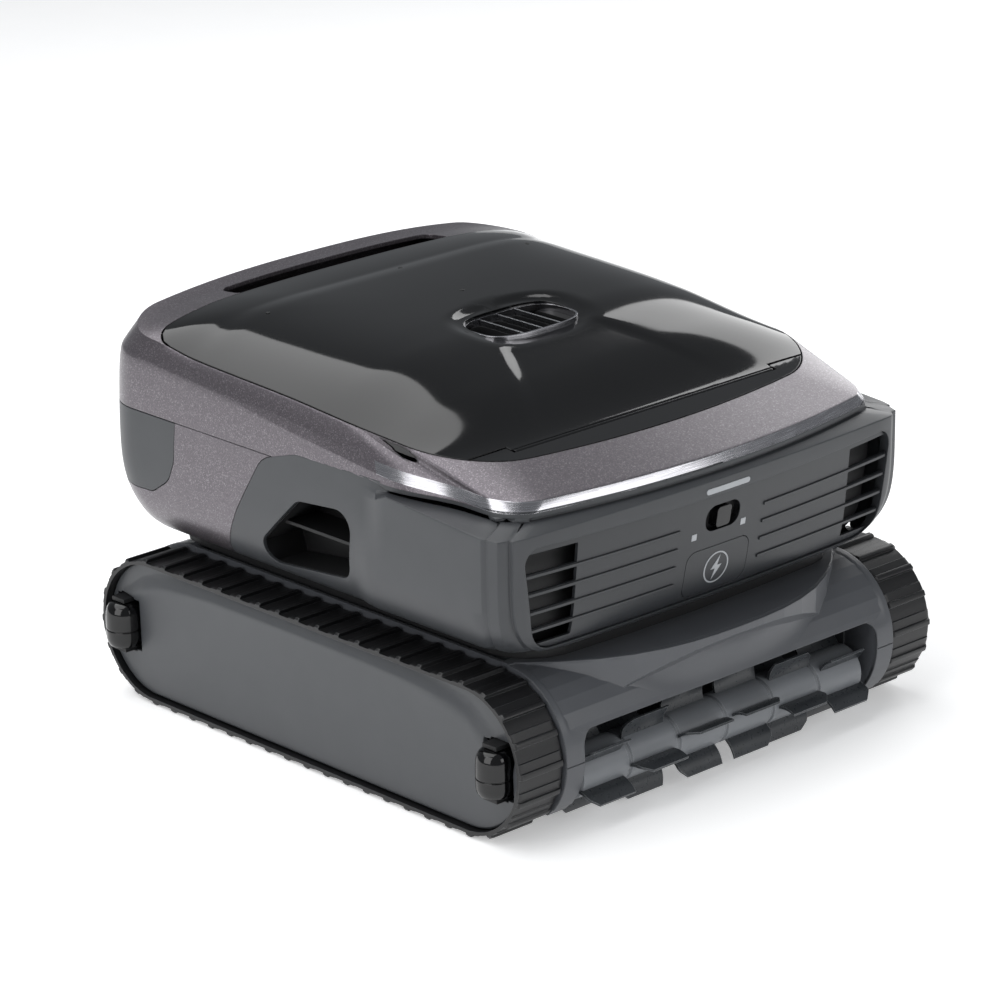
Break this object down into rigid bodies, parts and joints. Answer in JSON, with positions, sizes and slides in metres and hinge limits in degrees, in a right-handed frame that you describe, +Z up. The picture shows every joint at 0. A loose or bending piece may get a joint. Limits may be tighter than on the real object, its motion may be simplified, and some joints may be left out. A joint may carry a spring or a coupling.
{
  "type": "pool cleaner",
  "caption": "Cordless robotic pool cleaner on rubber tracks with blade brushes, a lifting lid over a debris basket, a top vent and side windows.",
  "frame": {"origin": "on the floor, under the middle of the machine", "axes": "+X towards the right-hand track, -Y towards the end with the switch and the charge flap, +Z up"},
  "size_m": [0.452, 0.4798, 0.307],
  "materials": {
    "black_gloss": "gloss",
    "silver_paint": "satin metallic",
    "dark_shell": "satin",
    "mid_shell": "satin",
    "rubber": "matte",
    "inner_plastic": "matte",
    "blade": "satin",
    "steel": "brushed",
    "gear": "matte",
    "cell_wrap": "satin",
    "lens": "frosted",
    "screen": "matte"
  },
  "bodies": {
    "chassis": {"battery_pack": "cell_wrap", "charge_socket": "inner_plastic", "chassis_tub": "mid_shell", "control_box": "inner_plastic", "front_brush_shroud": "mid_shell", "front_cowl": "dark_shell", "front_fascia": "dark_shell", "front_left_roller_bracket": "inner_plastic", "front_right_roller_bracket": "inner_plastic", "hinge_trim": "black_gloss", "indicator_lens": "lens", "left_belt": "rubber", "left_drive_motor": "steel", "left_pod_frame": "inner_plastic", "left_side_cover": "dark_shell", "left_window_duct": "inner_plastic", "neck_frame": "rubber", "pump_duct": "inner_plastic", "pump_motor": "steel", "rear_brush_shroud": "mid_shell", "rear_cowl": "silver_paint", "rear_left_roller_bracket": "inner_plastic", "rear_panel": "dark_shell", "rear_right_roller_bracket": "inner_plastic", "right_belt": "rubber", "right_drive_motor": "steel", "right_pod_frame": "inner_plastic", "right_side_cover": "dark_shell", "right_window_duct": "inner_plastic", "top_cover": "silver_paint", "tub_deck": "inner_plastic"},
    "lid": {"lid_panel": "black_gloss", "vent_grille": "inner_plastic"},
    "basket": {"basket_tub": "inner_plastic", "basket_screen": "screen"},
    "bail": {"basket_bail": "gear"},
    "intake_flap_body": {"intake_flap": "rubber"},
    "impeller_body": {"impeller": "gear"},
    "switch": {"mode_switch": "black_gloss"},
    "flap": {"charge_flap": "dark_shell"},
    "front_brush_body": {"front_brush": "blade", "front_brush_gear": "gear"},
    "rear_brush_body": {"rear_brush": "blade", "rear_brush_gear": "gear"},
    "left_pinion_body": {"left_pinion": "steel"},
    "right_pinion_body": {"right_pinion": "steel"},
    "front_left_wheel_body": {"front_left_wheel": "inner_plastic", "front_left_axle": "steel"},
    "front_left_roller_body": {"front_left_roller": "black_gloss"},
    "rear_left_wheel_body": {"rear_left_wheel": "inner_plastic", "rear_left_axle": "steel"},
    "rear_left_roller_body": {"rear_left_roller": "black_gloss"},
    "front_right_wheel_body": {"front_right_wheel": "inner_plastic", "front_right_axle": "steel"},
    "front_right_roller_body": {"front_right_roller": "black_gloss"},
    "rear_right_wheel_body": {"rear_right_wheel": "inner_plastic", "rear_right_axle": "steel"},
    "rear_right_roller_body": {"rear_right_roller": "black_gloss"}
  },
  "joints": [
    {"name": "lid_hinge", "type": "hinge", "parent": "chassis", "child": "lid", "pos_m": [0, -0.143, 0.25697], "axis": [1, 0, 0], "range_deg": [0, 75]},
    {"name": "basket_lift", "type": "slide", "parent": "chassis", "child": "basket", "axis": [0, 0, 1], "range_m": [0, 0.16]},
    {"name": "basket_bail_hinge", "type": "hinge", "parent": "basket", "child": "bail", "pos_m": [0, 0.103, 0.24], "axis": [1, 0, 0], "range_deg": [0, 76]},
    {"name": "intake_flap_hinge", "type": "hinge", "parent": "basket", "child": "intake_flap_body", "pos_m": [0, 0.079, 0.0311], "axis": [1, 0, 0], "range_deg": [0, 70]},
    {"name": "impeller_spin", "type": "hinge", "parent": "chassis", "child": "impeller_body", "pos_m": [0, -0.013, 0.21], "axis": [0, 0, 1], "continuous": true},
    {"name": "mode_switch_slide", "type": "slide", "parent": "chassis", "child": "switch", "axis": [1, 0, 0], "range_m": [-0.008, 0.008]},
    {"name": "charge_flap_hinge", "type": "hinge", "parent": "chassis", "child": "flap", "pos_m": [0, -0.21021, 0.1395], "axis": [1, 0, 0], "range_deg": [0, 95]},
    {"name": "left_drive_spin", "type": "hinge", "parent": "chassis", "child": "front_left_wheel_body", "pos_m": [-0.19, -0.1744, 0.0585], "axis": [1, 0, 0], "continuous": true},
    {"name": "left_idler_spin", "type": "hinge", "parent": "chassis", "child": "rear_left_wheel_body", "pos_m": [-0.19, 0.1744, 0.0585], "axis": [1, 0, 0], "continuous": true},
    {"name": "left_pinion_spin", "type": "hinge", "parent": "chassis", "child": "left_pinion_body", "pos_m": [-0.16, -0.1374, 0.0585], "axis": [1, 0, 0], "continuous": true},
    {"name": "right_drive_spin", "type": "hinge", "parent": "chassis", "child": "front_right_wheel_body", "pos_m": [0.19, -0.1744, 0.0585], "axis": [1, 0, 0], "continuous": true},
    {"name": "right_idler_spin", "type": "hinge", "parent": "chassis", "child": "rear_right_wheel_body", "pos_m": [0.19, 0.1744, 0.0585], "axis": [1, 0, 0], "continuous": true},
    {"name": "right_pinion_spin", "type": "hinge", "parent": "chassis", "child": "right_pinion_body", "pos_m": [0.16, -0.1374, 0.0585], "axis": [1, 0, 0], "continuous": true},
    {"name": "front_brush_spin", "type": "hinge", "parent": "chassis", "child": "front_brush_body", "pos_m": [0, -0.20633, 0.0361], "axis": [1, 0, 0], "continuous": true},
    {"name": "rear_brush_spin", "type": "hinge", "parent": "chassis", "child": "rear_brush_body", "pos_m": [0, 0.20633, 0.0361], "axis": [1, 0, 0], "continuous": true},
    {"name": "front_left_roller_spin", "type": "hinge", "parent": "chassis", "child": "front_left_roller_body", "pos_m": [-0.212, -0.205, 0.0585], "axis": [0, 0, 1], "continuous": true},
    {"name": "rear_left_roller_spin", "type": "hinge", "parent": "chassis", "child": "rear_left_roller_body", "pos_m": [-0.212, 0.205, 0.0585], "axis": [0, 0, 1], "continuous": true},
    {"name": "front_right_roller_spin", "type": "hinge", "parent": "chassis", "child": "front_right_roller_body", "pos_m": [0.212, -0.205, 0.0585], "axis": [0, 0, 1], "continuous": true},
    {"name": "rear_right_roller_spin", "type": "hinge", "parent": "chassis", "child": "rear_right_roller_body", "pos_m": [0.212, 0.205, 0.0585], "axis": [0, 0, 1], "continuous": true}
  ],
  "couplings": [
    {"joint": "basket_lift", "follows": "lid_hinge", "m_per_rad": 0.12},
    {"joint": "basket_bail_hinge", "follows": "lid_hinge", "ratio": 1},
    {"joint": "front_brush_spin", "follows": "left_drive_spin", "ratio": -1.7857},
    {"joint": "rear_brush_spin", "follows": "right_drive_spin", "ratio": -1.7857},
    {"joint": "left_idler_spin", "follows": "left_drive_spin", "ratio": 1},
    {"joint": "left_pinion_spin", "follows": "left_drive_spin", "ratio": -2.0833},
    {"joint": "right_idler_spin", "follows": "right_drive_spin", "ratio": 1},
    {"joint": "right_pinion_spin", "follows": "right_drive_spin", "ratio": -2.0833}
  ]
}
